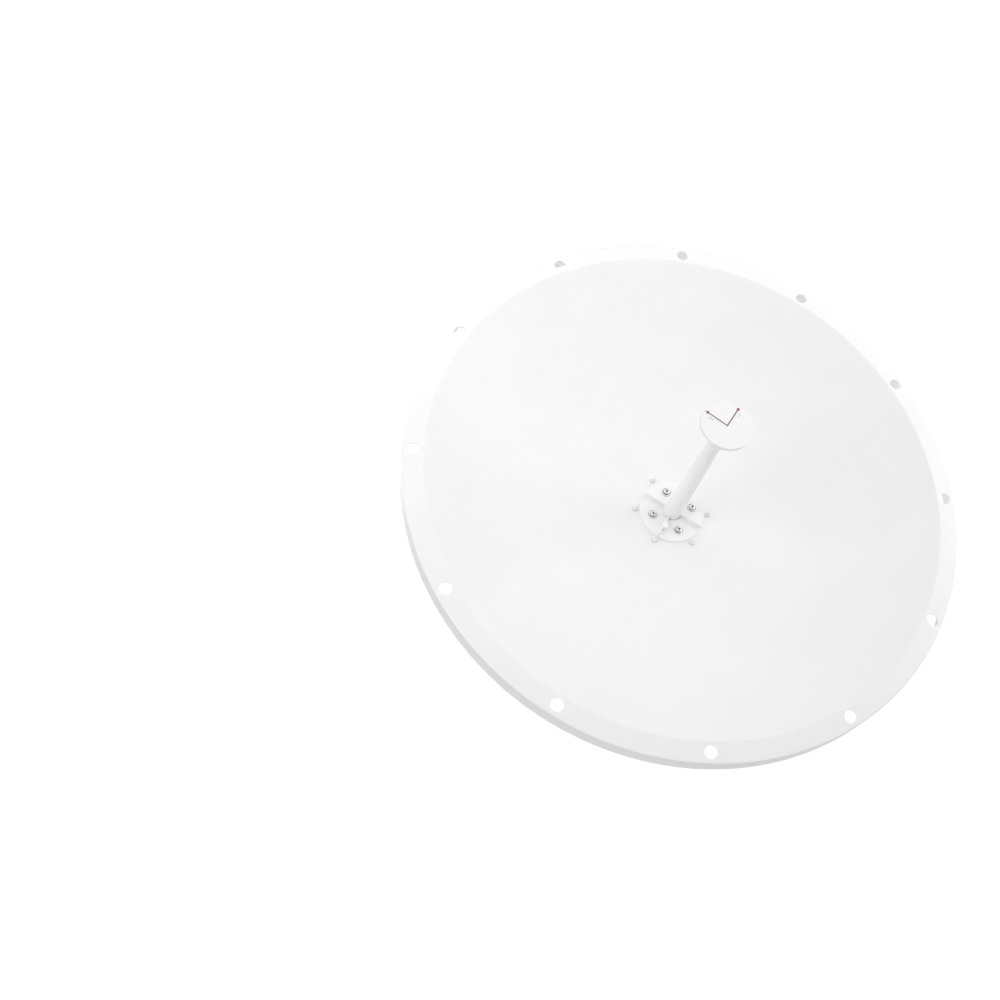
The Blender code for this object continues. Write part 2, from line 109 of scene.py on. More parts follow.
# Sizes of the print on the cap.
PRINT_LOW = CAP_FRONT - 0.05
PRINT_HIGH = CAP_FRONT + 0.12
ARROW_HALF_WIDTH = 1.0
ARROW_HEAD_HALF_WIDTH = 3.4
ARROW_HEAD_LENGTH = 6.6
NUMBER_LINE = 0.9

# Sizes of the fastenings in front.
SCREW_CIRCLE = 41.5
WASHER_BORE = 3.3
FLAT_WASHER_RADIUS = 8.4
FLAT_WASHER_TOP = FLANGE_FRONT + 1.3
# The dark ring under each flat washer is painted shade round the washer's edge.
WASHER_SHADE_RADIUS = 8.9
WASHER_SHADE_TOP = FLANGE_FRONT + 0.6
SPLIT_WASHER_RADIUS = 6.6
SPLIT_WASHER_HEIGHT = 1.45
HEAD_LOW = FLAT_WASHER_TOP + 1.5
HEAD_TOP = HEAD_LOW + 3.9
HEAD_RADIUS = 5.8
SHANK_RADIUS = 3.0
SHANK_END = 62.0
RIVET_CIRCLE = 74.0
RIVET_RADIUS = 4.2
RIVET_TOP = HUB + 8.0
RIVET_HOLE_RADIUS = 1.7
RIVET_HOLE_LOW = HUB + 4.4
# The grey ring under each rivet's stub is painted shade round the stub's foot.
RIVET_SHADE_RING_RADIUS = 5.2
RIVET_SHADE_RING_TOP = HUB + 0.9

# Sizes of the pieces behind the reflector.
RING_BACK = 74.3
RING_BORE = 33.0
RING_RADIUS = 83.0
PLATE_FRONT = 8.0
PLATE_RADIUS = 80.0
PLATE_HOLE_CIRCLE = 62.0
PLATE_HOLE_RADIUS = 4.5
PLATE_HOLE_EDGE = 0.6
SINK_BORE = 3.3
SINK_RADIUS = 6.4
SUNK_FACE = 0.3
PILLAR_RADIUS = 9.0
BODY_RADIUS = 27.0
BODY_BACK = 14.0
BODY_FRONT = SHEET_BACK - 0.3
BODY_GROOVE = 64.8
PAD_REACH = 30.0
PAD_SIDE = 26.0

# Sizes of the coaxial sockets, whose lengths count outwards from the boresight.
SOCKET_HEIGHT = 42.0
SOCKET_SIDE = 24.0
SOCKET_THICKNESS = 2.6
SOCKET_FACE = 32.7
SOCKET_SCREW_PLACE = 9.0
COLLAR_RADIUS = 8.6
THREAD_START = 36.0
THREAD_PITCH = 1.06
THREAD_TURNS = 13
THREAD_ROOT = 7.2
THREAD_CREST = 7.9
BARREL_END = 52.1
BARREL_BORE = 4.4
BARREL_FLOOR = 43.4
CONTACT_RADIUS = 1.6
CONTACT_BORE = 0.7
CONTACT_END = 48.9

# Settings of the finishes and the light.
NOISE_RANGE = (0.3, 0.7)
LIGHT_TARGET = (0, -0.15, 0)


# Mesh helpers.


def arc(centre, radius, start, end, steps):
    """Points of an arc in a profile, its angles in degrees."""
    angles = [math.radians(start + (end - start) * i / steps) for i in range(steps + 1)]
    return [(centre[0] + radius * math.cos(a), centre[1] + radius * math.sin(a)) for a in angles]


def rounded(points, steps=5, closed=True):
    """A profile whose corners with a third number are rounded by that radius."""
    line = []
    count = len(points)
    for i, point in enumerate(points):
        radius = point[2] if len(point) > 2 else 0
        if not radius or (not closed and i in (0, count - 1)):
            line.append((point[0], point[1]))
            continue
        corner = Vector(point[:2])
        before = (Vector(points[i - 1][:2]) - corner).normalized()
        after = (Vector(points[(i + 1) % count][:2]) - corner).normalized()
        half = before.angle(after) / 2
        centre = corner + (before + after).normalized() * (radius / math.sin(half))
        reach = radius / math.tan(half)
        first = corner + before * reach - centre
        last = corner + after * reach - centre
        start = math.atan2(first.y, first.x)
        turn = (math.atan2(last.y, last.x) - start + math.pi) % (2 * math.pi) - math.pi
        for k in range(steps + 1):
            angle = start + turn * k / steps
            line.append((centre.x + radius * math.cos(angle), centre.y + radius * math.sin(angle)))
    return line


def spin(shape, profile, segments, place=None):
    """Adds a closed (radius, height) profile turned about the z axis, and gives its vertices."""
    on_axis = 1e-5
    angles = [2 * math.pi * i / segments for i in range(segments)]
    rings = []
    for radius, height in profile:
        if radius < on_axis:
            rings.append([shape.verts.new((0, 0, height))])
        else:
            rings.append([
                shape.verts.new((radius * math.cos(a), radius * math.sin(a), height)) for a in angles
            ])
    for here, there in zip(rings, rings[1:] + rings[:1]):
        if len(here) == 1 and len(there) == 1:
            continue
        for i in range(segments):
            j = (i + 1) % segments
            corners = [ring[k % len(ring)] for ring, k in ((here, i), (here, j), (there, j), (there, i))]
            shape.faces.new(list(dict.fromkeys(corners)))
    made = [v for ring in rings for v in ring]
    if place is not None:
        bmesh.ops.transform(shape, matrix=place, verts=made)
    return made


def loft(shape, sections, place=None):
    """Adds a skin over closed loops of points, with a face at each end."""
    loops = [[shape.verts.new(point) for point in section] for section in sections]
    for here, there in zip(loops, loops[1:]):
        for i in range(len(here)):
            j = (i + 1) % len(here)
            shape.faces.new((here[i], here[j], there[j], there[i]))
    shape.faces.new(loops[0])
    shape.faces.new(loops[-1])
    if place is not None:
        bmesh.ops.transform(shape, matrix=place, verts=[v for loop in loops for v in loop])


def slab(shape, outline, low, high):
    """Adds a flat area between two heights."""
    loft(shape, [[(x, y, z) for x, y in outline] for z in (low, high)])


def stroke(shape, points, width, low, high):
    """Adds a flat line of even width along points, with square ends."""
    shortest_mitre = 0.5
    left, right = [], []
    for i, point in enumerate(points):
        here = Vector(point)
        before = (here - Vector(points[i - 1])).normalized() if i else None
        after = (Vector(points[i + 1]) - here).normalized() if i < len(points) - 1 else None
        along = ((before or after) + (after or before)).normalized()
        side = Vector((-along.y, along.x)) * (width / 2)
        if before is not None and after is not None:
            side /= max(along.dot(after), shortest_mitre)
        left.append(here + side)
        right.append(here - side)
    slab(shape, left + right[::-1], low, high)


def block(shape, size, centre, bevel, place):
    """Adds a box with rounded edges."""
    made = bmesh.ops.create_cube(shape, size=1.0)["verts"]
    bmesh.ops.scale(shape, vec=size, verts=made)
    bmesh.ops.translate(shape, vec=centre, verts=made)
    edges = list({edge for vert in made for edge in vert.link_edges})
    got = bmesh.ops.bevel(shape, geom=edges, offset=bevel, segments=3, profile=0.5, affect="EDGES")
    made = list({v for v in made if v.is_valid} | set(got["verts"]))
    bmesh.ops.transform(shape, matrix=place, verts=made)


def at(x, y, z=0.0, turn=0.0):
    """A frame at a point of the boresight's frame, turned about z by some degrees."""
    return Matrix.Translation((x, y, z)) @ Matrix.Rotation(math.radians(turn), 4, "Z")


def on_circle(radius, degrees):
    """The x and y of a point on a circle about the boresight."""
    angle = math.radians(degrees)
    return radius * math.cos(angle), radius * math.sin(angle)


def shade(data, sharp):
    """Smooth shading, with the edges over an angle in degrees kept sharp."""
    data.shade_smooth()
    data.set_sharp_from_angle(angle=math.radians(sharp))


def as_object(name, shape, sharp):
    """The object of a shape, moved into the scene's axes."""
    bmesh.ops.transform(shape, matrix=TO_SCENE, verts=shape.verts)
    bmesh.ops.recalc_face_normals(shape, faces=shape.faces)
    data = bpy.data.meshes.new(name)
    shape.to_mesh(data)
    shape.free()
    shade(data, sharp)
    obj = bpy.data.objects.new(name, data)
    bpy.context.scene.collection.objects.link(obj)
    return obj


def cut(obj, cutter, sharp):
    """Takes one object out of another and removes the cutter."""
    modifier = obj.modifiers.new("cut", "BOOLEAN")
    modifier.operation = "DIFFERENCE"
    modifier.solver = "EXACT"
    modifier.object = cutter
    bpy.context.view_layer.update()
    graph = bpy.context.evaluated_depsgraph_get()
    data = bpy.data.meshes.new_from_object(obj.evaluated_get(graph))
    obj.modifiers.clear()
    obj.data = data
    shade(data, sharp)
    bpy.data.objects.remove(cutter)


def dress(obj, material, slot, *nodes):
    """Gives a piece its material, its body and the nodes that it stands for."""
    obj.data.materials.clear()
    obj.data.materials.append(material)
    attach(obj, "root")
    if nodes:
        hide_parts(*nodes)


def piece(name, shape, material, slot, *nodes, sharp=30):
    """Makes a dressed piece of a shape."""
    dress(as_object(name, shape, sharp), material, slot, *nodes)


# Materials.


def node(tree, kind, **values):
    """A new node, with settings by attribute and sockets by name."""
    made = tree.nodes.new(kind)
    for key, value in values.items():
        if hasattr(made, key):
            setattr(made, key, value)
        else:
            made.inputs[key.replace("_", " ")].default_value = value
    return made


def spread(tree, source, low, high):
    """A noise value mapped to a range."""
    start, end = NOISE_RANGE
    made = node(tree, "ShaderNodeMapRange", From_Min=start, From_Max=end, To_Min=low, To_Max=high)
    tree.links.new(source, made.inputs["Value"])
    return made.outputs["Result"]


def noise(tree, place, scale, detail, roughness):
    """The value of a noise over a place."""
    made = node(tree, "ShaderNodeTexNoise", Scale=scale, Detail=detail, Roughness=roughness)
    tree.links.new(place, made.inputs["Vector"])
    return made.outputs["Fac"]


def finish_material(name, *, colours, roughness, metallic, mottle=9.0, grain, relief):
    """A paint, plastic or metal: a tone between two colours, an uneven gloss and a fine relief.

    mottle and grain are about how many spots of tone and grains of relief go in a metre, and relief is
    the grains' depth in metres. The gloss varies in spots a twelfth as wide as the tone's.
    """
    made = bpy.data.materials.new(name)
    made.use_nodes = True
    tree = made.node_tree
    place = node(tree, "ShaderNodeTexCoord").outputs["Object"]
    shader = tree.nodes["Principled BSDF"]
    shader.inputs["Metallic"].default_value = metallic

    mix = node(tree, "ShaderNodeMix", data_type="RGBA")
    mix.inputs["A"].default_value = (*colours[0], 1)
    mix.inputs["B"].default_value = (*colours[1], 1)
    tone = noise(tree, place, scale=mottle, detail=5.0, roughness=0.6)
    tree.links.new(spread(tree, tone, 0.0, 1.0), mix.inputs["Factor"])
    tree.links.new(mix.outputs["Result"], shader.inputs["Base Color"])

    gloss = noise(tree, place, scale=mottle * 12, detail=4.0, roughness=0.55)
    tree.links.new(spread(tree, gloss, *roughness), shader.inputs["Roughness"])

    grains = noise(tree, place, scale=grain, detail=2.0, roughness=0.5)
    bump = node(tree, "ShaderNodeBump", Strength=1.0, Distance=relief)
    tree.links.new(grains, bump.inputs["Height"])
    tree.links.new(bump.outputs["Normal"], shader.inputs["Normal"])
    return made


POWDER_COAT = finish_material(
    "white_powder_coat",
    colours=((0.84, 0.84, 0.84), (0.86, 0.86, 0.858)),
    roughness=(0.42, 0.52),
    metallic=0.0,
    grain=620,
    relief=0.00003,
)
FEED_PLASTIC = finish_material(
    "white_moulded_plastic",
    colours=((0.86, 0.86, 0.858), (0.88, 0.88, 0.877)),
    roughness=(0.36, 0.44),
    metallic=0.0,
    grain=1500,
    relief=0.00001,
)
STAINLESS = finish_material(
    "bright_stainless",
    colours=((0.80, 0.79, 0.79), (0.90, 0.89, 0.89)),
    roughness=(0.14, 0.24),
    metallic=1.0,
    mottle=60,
    grain=2600,
    relief=0.000004,
)
# Dark steel for the spring washers, also painted shade under the screw heads, and painted shade on the
# floors of the cross recesses.
SPRING_STEEL_AND_SHADE = finish_material(
    "dark_spring_steel_and_painted_shade",
    colours=((0.10, 0.09, 0.10), (0.16, 0.15, 0.16)),
    roughness=(0.30, 0.40),
    metallic=1.0,
    mottle=60,
    grain=2600,
    relief=0.000006,
)
# Grey for the mandrels' bare ends, and painted shade in the ring round each rivet's foot.
MANDREL_AND_SHADE_GREY = finish_material(
    "grey_mandrel_and_painted_shade",
    colours=((0.58, 0.58, 0.58), (0.64, 0.64, 0.64)),
    roughness=(0.40, 0.50),
    metallic=0.0,
    mottle=80,
    grain=2600,
    relief=0.000006,
)
ALUMINIUM = finish_material(
    "turned_aluminium",
    colours=((0.66, 0.67, 0.68), (0.76, 0.77, 0.78)),
    roughness=(0.30, 0.42),
    metallic=1.0,
    mottle=40,
    grain=1800,
    relief=0.000008,
)
NICKEL = finish_material(
    "satin_nickel",
    colours=((0.58, 0.56, 0.51), (0.66, 0.64, 0.59)),
    roughness=(0.22, 0.32),
    metallic=1.0,
    mottle=60,
    grain=2400,
    relief=0.000004,
)
GOLD = finish_material(
    "gold_contact",
    colours=((0.80, 0.56, 0.22), (0.88, 0.64, 0.28)),
    roughness=(0.16, 0.24),
    metallic=1.0,
    mottle=60,
    grain=2400,
    relief=0.000002,
)
INSULATOR = finish_material(
    "contact_insulator",
    colours=((0.80, 0.80, 0.78), (0.86, 0.86, 0.84)),
    roughness=(0.34, 0.42),
    metallic=0.0,
    mottle=60,
    grain=2000,
    relief=0.000004,
)
# A dark grey for the ring under each flat washer: painted shade round the washer's edge.
WASHER_SHADE_DARK = finish_material(
    "painted_washer_shade",
    colours=((0.10, 0.10, 0.10), (0.14, 0.14, 0.14)),
    roughness=(0.55, 0.70),
    metallic=0.0,
    mottle=60,
    grain=1800,
    relief=0.00001,
)
ARROW_INK = finish_material(
    "dark_red_ink",
    colours=((0.175, 0.035, 0.045), (0.225, 0.050, 0.060)),
    roughness=(0.40, 0.55),
    metallic=0.0,
    mottle=80,
    grain=2600,
    relief=0.000003,
)
NUMBER_INK = finish_material(
    "grey_ink",
    colours=((0.40, 0.39, 0.41), (0.48, 0.47, 0.49)),
    roughness=(0.40, 0.55),
    metallic=0.0,
    mottle=80,
    grain=2600,
    relief=0.000003,
)


# Reflector pieces.


def bowl_height(radius):
    """The bowl's front surface: flat at the hub, a soft bend, then the parabola."""
    if radius <= BEND_START:
        return HUB
    if radius >= BEND_END:
        return HUB + BOWL_SLOPE * (radius**2 - HUB_FLAT_RADIUS**2)
    t = (radius - BEND_START) / (BEND_END - BEND_START)
    end_rise = BOWL_SLOPE * (BEND_END**2 - HUB_FLAT_RADIUS**2)
    end_slope = 2 * BOWL_SLOPE * BEND_END * (BEND_END - BEND_START)
    return HUB + end_rise * t * t * (3 - 2 * t) + end_slope * t * t * (t - 1)


def flange_point(from_crease):
    """A point on the flange's front, at a distance outwards from the crease."""
    return CREASE_RADIUS + from_crease, RIM + FLANGE_SLOPE * from_crease


def reflector_profile():
    """The closed profile of the pressed sheet: its front line, then its back line inwards."""
    hub_rings = [REFLECTOR_BORE, 62, 72]
    bend_rings = [BEND_START + 3 * k for k in range(9)]
    bowl_rings = [112 + 9 * k for k in range(41)] + [482, CREASE_RADIUS - CREASE_BEND]
    front = [(radius, bowl_height(radius)) for radius in hub_rings + bend_rings + bowl_rings]
    edge_line = [
        front[-1],
        (CREASE_RADIUS, RIM, CREASE_BEND),
        flange_point(3.5),
        flange_point(32.0),
        (EDGE_RADIUS, EDGE_HEIGHT, EDGE_BEND),
        (EDGE_RADIUS + 0.15, EDGE_HEIGHT - 6.0),
        (LIP_BACK_RADIUS, LIP_BACK_HEIGHT),
    ]
    front += rounded(edge_line, steps=6, closed=False)[1:]
    back = []
    for i, (radius, height) in enumerate(front):
        before, after = front[max(i - 1, 0)], front[min(i + 1, len(front) - 1)]
        along = Vector((after[0] - before[0], after[1] - before[1])).normalized()
        back.append((radius + along.y * SHEET, height - along.x * SHEET))
    along = (Vector(front[-1]) - Vector(front[-2])).normalized()
    lip_end = Vector(front[-1]) * 0.5 + Vector(back[-1]) * 0.5 + along * LIP_END_BULGE
    return front + [tuple(lip_end)] + back[::-1]


def make_reflector():
    """The pressed sheet, with chamfered holes through its flange."""
    sharp = 28
    shape = bmesh.new()
    spin(shape, reflector_profile(), 360)
    dish = as_object("reflector_shell", shape, sharp)

    over = 4.0
    wide = RIM_HOLE_RADIUS + RIM_HOLE_EDGE
    profile = [
        (0, over),
        (wide + over, over),
        (wide, 0),
        (RIM_HOLE_RADIUS + 0.15, -0.2),
        (RIM_HOLE_RADIUS, -RIM_HOLE_EDGE),
        (RIM_HOLE_RADIUS, RIM_HOLE_EDGE - SHEET),
        (wide, -SHEET),
        (wide + over, -SHEET - over),
        (0, -SHEET - over),
    ]
    holes = bmesh.new()
    radius, height = flange_point(RIM_HOLE_CIRCLE - CREASE_RADIUS)
    tilted = Matrix.Translation((radius, 0, height)) @ Matrix.Rotation(-math.atan(FLANGE_SLOPE), 4, "Y")
    for number in range(RIM_HOLES):
        spin(holes, profile, 48, at(0, 0, turn=360 / RIM_HOLES * number) @ tilted)
    cut(dish, as_object("rim_hole_cutter", holes, sharp), sharp)
    dress(dish, POWDER_COAT, "reflector_paint", "reflector")


# Feed pieces.


def rib_section(x, height, half_width):
    """The rib's closed outline across its length, at one place along it."""
    fillet = arc((half_width + RIB_FILLET, RIB_FILLET), RIB_FILLET, 270, 180, 5)
    crown = arc((half_width - RIB_TAPER - RIB_EDGE, height - RIB_EDGE), RIB_EDGE, 0, 90, 5)
    right = [(half_width + RIB_FILLET, -ROOT_DEPTH)] + fillet + crown
    left = [(-y, z) for y, z in right[::-1]]
    return [(x, y, FLANGE_FRONT + z) for y, z in right + left]


def add_ribs(shape):
    """Adds four ribs from the tube outwards, each rounded down at its end."""
    bend_start = RIB_END - RIB_END_BEND
    sections = []
    for x in (RIB_START, 30.0, bend_start - 3.0, bend_start):
        sections.append(rib_section(x, RIB_HEIGHT, RIB_HALF_WIDTH))
    for k in range(1, 7):
        angle = math.radians(15 * k)
        x = bend_start + RIB_END_BEND * math.sin(angle)
        drop = RIB_END_BEND * (1 - math.cos(angle))
        narrowing = 0.25 * max(k - 4, 0)
        sections.append(rib_section(x, RIB_HEIGHT - drop, RIB_HALF_WIDTH - narrowing))
    for number in range(4):
        loft(shape, sections, at(0, 0, turn=90 * number))


def add_bosses(shape):
    """Adds a low round boss beside the upper and the lower rib."""
    top = FLANGE_FRONT + BOSS_HEIGHT
    fillet_top = FLANGE_FRONT + BOSS_FILLET
    fillet_radius = BOSS_RADIUS + BOSS_FILLET
    wall = rounded([(0, top), (BOSS_RADIUS - 0.3, top, 1.3), (BOSS_RADIUS, fillet_top)], closed=False)
    profile = wall[:-1] + arc((fillet_radius, fillet_top), BOSS_FILLET, 180, 270, 6)
    profile += [(fillet_radius, FLANGE_FRONT - ROOT_DEPTH), (0, FLANGE_FRONT - ROOT_DEPTH)]
    for y in (BOSS_Y, -BOSS_Y):
        spin(shape, profile, 40, at(BOSS_X, y))


def make_foot():
    """The moulded foot: a disc with a rounded edge and a seat for the tube, four ribs and two bosses."""
    shape = bmesh.new()
    seat_radius = TUBE_BASE_RADIUS + SEAT_GAP
    disc = rounded([
        (FOOT_INNER_RADIUS, FLANGE_FRONT - SEAT_DEPTH),
        (seat_radius, FLANGE_FRONT - SEAT_DEPTH),
        (seat_radius, FLANGE_FRONT, 0.25),
        (FLANGE_RADIUS - 2.2, FLANGE_FRONT),
        (FLANGE_RADIUS, FLANGE_FRONT, 0.9),
        (FLANGE_RADIUS, HUB),
        (SPIGOT_RADIUS, HUB),
        (SPIGOT_RADIUS, SHEET_BACK),
        (FOOT_INNER_RADIUS, SHEET_BACK),
    ])
    # The seat stands a little aside, so that the gap round the tube is wider on the right.
    seat_reach = seat_radius + 0.5
    for vert in spin(shape, disc, 144):
        if vert.co.xy.length < seat_reach:
            vert.co.x += SEAT_OFFSET
    add_ribs(shape)
    add_bosses(shape)
    piece("feed_foot", shape, FEED_PLASTIC, "feed_plastic", "feed_flange", sharp=32)


def make_tube():
    """The tapered tube, which stands in the foot's seat with a narrow gap round it."""
    shape = bmesh.new()
    low = FLANGE_FRONT - SEAT_DEPTH - 0.3
    steps = 24
    line = []
    for k in range(steps + 1):
        radius = TUBE_BASE_RADIUS + (TUBE_TOP_RADIUS - TUBE_BASE_RADIUS) * k / steps
        line.append((radius, low + (CONE_START - low) * k / steps))
    line += [(0, CONE_START), (0, low)]
    spin(shape, line, 96)
    piece("feed_tube_moulding", shape, FEED_PLASTIC, "feed_plastic", "feed_tube", sharp=40)


def make_cone():
    """The cone that opens out of a sleeve on the tube, up to the back of the cap."""
    shape = bmesh.new()
    line = rounded([
        (0, CONE_START - CONE_SLEEVE),
        (TUBE_TOP_RADIUS + 0.4, CONE_START - CONE_SLEEVE, 0.5),
        (TUBE_TOP_RADIUS + 0.05, CONE_START - 1, 14.0),
        (CONE_RADIUS, CAP_BACK - 2.6, 0.8),
        (CONE_RADIUS, CAP_BACK + 0.2),
        (0, CAP_BACK + 0.2),
    ], steps=8)
    spin(shape, line, 96)
    piece("feed_cone_moulding", shape, FEED_PLASTIC, "feed_plastic", "feed_cone", sharp=32)


def make_cap():
    """The round cap, with softened edges."""
    shape = bmesh.new()
    line = rounded([
        (0, CAP_FRONT),
        (20.0, CAP_FRONT),
        (CAP_RADIUS - 2.4, CAP_FRONT),
        (CAP_RADIUS, CAP_FRONT, CAP_EDGE),
        (CAP_RADIUS - 0.1, CAP_BACK, CAP_EDGE),
        (0, CAP_BACK),
    ])
    spin(shape, line, 128)
    piece("feed_cap_disc", shape, FEED_PLASTIC, "feed_plastic", "feed_cap", sharp=32)


def make_arrows():
    """Two printed arrows, one along each polarisation."""
    shape = bmesh.new()
    for start, end in (((1.0, -2.2), (2.6, 44.2)), ((2.1, -1.2), (-43.8, 1.6))):
        start, end = Vector(start), Vector(end)
        along = (end - start).normalized()
        side = Vector((-along.y, along.x))
        neck = end - along * ARROW_HEAD_LENGTH
        outline = [
            start + side * ARROW_HALF_WIDTH,
            neck + side * ARROW_HALF_WIDTH,
            neck + side * ARROW_HEAD_HALF_WIDTH,
            end,
            neck - side * ARROW_HEAD_HALF_WIDTH,
            neck - side * ARROW_HALF_WIDTH,
            start - side * ARROW_HALF_WIDTH,
        ]
        slab(shape, outline, PRINT_LOW, PRINT_HIGH)
    piece("polarisation_arrows", shape, ARROW_INK, "feed_plastic", sharp=30)


def make_numbers():
    """A plain printed number beside each arrow, each turned about its own middle."""
    shape = bmesh.new()
    one = [(-1.3, 2.2), (0.6, 3.6), (0.6, -3.6)]
    two = [
        (-2.0, 2.1), (-1.4, 3.2), (0.0, 3.7), (1.5, 3.1),
        (2.0, 1.9), (1.5, 0.6), (-2.1, -3.2), (2.3, -3.2),
    ]
    for digit, middle, turn in ((one, (8.6, 29.0), -2.5), (two, (-28.6, -6.0), 87.5)):
        turned = Matrix.Rotation(math.radians(turn), 2)
        points = [tuple(turned @ Vector(p) + Vector(middle)) for p in digit]
        stroke(shape, points, NUMBER_LINE, PRINT_LOW, PRINT_HIGH)
    piece("port_numbers", shape, NUMBER_INK, "feed_plastic", sharp=30)


# Rivets round the foot.


def rivet_stub():
    """The painted stub's profile, with a hole in its crown."""
    return rounded([
        (0, RIVET_HOLE_LOW),
        (RIVET_HOLE_RADIUS, RIVET_HOLE_LOW),
        (RIVET_HOLE_RADIUS, RIVET_TOP, 0.3),
        (RIVET_RADIUS, RIVET_TOP, 1.0),
        (RIVET_RADIUS - 0.2, HUB + 0.6),
        (0, HUB + 0.6),
    ], steps=4)


def rivet_tail():
    """The profile of the end that is upset behind the backing ring."""
    return rounded([
        (0, RING_BACK),
        (1.6, RING_BACK),
        (2.4, RING_BACK - 0.3, 0.5),
        (2.4, RING_BACK - 3.3, 0.8),
        (1.4, RING_BACK - 4.5, 0.4),
        (0, RING_BACK - 4.7),
    ], steps=3)


def rivet_mandrel():
    """The profile of the mandrel's end in the crown's hole."""
    return rounded([
        (0, RIVET_TOP - 1.1),
        (1.5, RIVET_TOP - 1.3, 0.5),
        (1.5, RIVET_HOLE_LOW - 0.1),
        (0, RIVET_HOLE_LOW - 0.1),
    ], steps=3)


def rivet_shade_ring():
    """The profile of the grey ring under the stub: painted shade where the stub meets the sheet."""
    return rounded([
        (0, RIVET_SHADE_RING_TOP),
        (RIVET_SHADE_RING_RADIUS - 0.2, RIVET_SHADE_RING_TOP, 0.4),
        (RIVET_SHADE_RING_RADIUS, HUB - 0.2),
        (0, HUB - 0.2),
    ], steps=3)


def make_rivets():
    """White-coated stub rivets, each on a grey ring that is painted shade round its foot, with the end of
    the mandrel in the crown's hole.
    """
    for number in range(1, 7):
        place = at(*on_circle(RIVET_CIRCLE, 60 * number - 30))
        shape = bmesh.new()
        spin(shape, rivet_stub(), 40, place)
        spin(shape, rivet_tail(), 24, place)
        piece(f"rivet_stub_{number}", shape, POWDER_COAT, "reflector_paint", f"rivet_{number}", sharp=34)
        # The mandrel's end, and a grey ring under the stub that is painted shade round its foot.
        shape = bmesh.new()
        spin(shape, rivet_mandrel(), 24, place)
        spin(shape, rivet_shade_ring(), 40, place)
        piece(f"rivet_mandrel_and_shade_{number}", shape, MANDREL_AND_SHADE_GREY, "reflector_paint", sharp=34)


# Screws and washers.


def cross_outline(arm, half_width):
    """A plus sign's outline, where arm is how far each arm reaches from the middle."""
    points = []
    quarter = [(arm, -half_width), (arm, half_width), (half_width, half_width)]
    for _ in range(4):
        points += quarter
        quarter = [(-y, x) for x, y in quarter]
    return points


def add_cross(shape, place, arm, half_width, levels):
    """Adds a plus-shaped solid through (height, arm scale, width scale) levels."""
    sections = []
    for height, arm_scale, width_scale in levels:
        outline = cross_outline(arm * arm_scale, half_width * width_scale)
        sections.append([(x, y, height) for x, y in outline])
    loft(shape, sections, place)


def cut_recess(screw, place, top, arm, half_width, depth, sharp):
    """Cuts a tapered cross recess into a screw's head."""
    shape = bmesh.new()
    levels = []
    for height, scale in ((top - depth, 0.42), (top, 1.0), (top + 2, 1.15)):
        levels.append((height, scale, 0.6 + 0.4 * scale))
    add_cross(shape, place, arm, half_width, levels)
    cut(screw, as_object("recess_cutter", shape, 30), sharp)


def washer_profile(inner, outer, low, high, edge):
    """A flat ring's profile with rounded edges."""
    return rounded([
        (inner, high, edge),
        (outer, high, edge),
        (outer, low, edge),
        (inner, low, edge),
    ], steps=3)


def make_flat_washer(number, x, y):
    """A bright flat washer on a thin dark ring that stands out a little round it: painted shade under the
    washer's edge.
    """
    shape = bmesh.new()
    ring = washer_profile(WASHER_BORE, FLAT_WASHER_RADIUS, WASHER_SHADE_TOP, FLAT_WASHER_TOP, 0.3)
    spin(shape, ring, 56, at(x, y))
    node_name = f"flat_washer_{number}"
    piece(f"flat_washer_ring_{number}", shape, STAINLESS, "stainless_steel", node_name)

    # The dark ring under the washer is painted shade round its edge.
    shape = bmesh.new()
    shade_ring = washer_profile(WASHER_BORE, WASHER_SHADE_RADIUS, FLANGE_FRONT - 0.05, WASHER_SHADE_TOP + 0.05, 0.25)
    spin(shape, shade_ring, 56, at(x, y))
    piece(f"washer_shade_ring_{number}", shape, WASHER_SHADE_DARK, "stainless_steel")


def make_split_washer(number, x, y):
    """A dark spring washer with a gap, which rises a little from end to end; its dark tone is also
    painted shade under the screw's head.
    """
    outline = rounded([
        (WASHER_BORE, 0, 0.2),
        (SPLIT_WASHER_RADIUS, 0, 0.25),
        (SPLIT_WASHER_RADIUS, SPLIT_WASHER_HEIGHT, 0.25),
        (WASHER_BORE, SPLIT_WASHER_HEIGHT, 0.2),
    ], steps=3)
    half_gap = 8
    steps = 48
    rise = 0.03
    sections = []
    for k in range(steps + 1):
        angle = math.radians(half_gap + (360 - 2 * half_gap) * k / steps)
        low = FLAT_WASHER_TOP - rise + rise * k / steps
        sections.append([(r * math.cos(angle), r * math.sin(angle), low + z) for r, z in outline])
    shape = bmesh.new()
    loft(shape, sections, at(x, y, turn=100 * number - 30))
    node_name = f"spring_washer_{number}"
    piece(f"split_washer_{number}", shape, SPRING_STEEL_AND_SHADE, "stainless_steel", node_name)


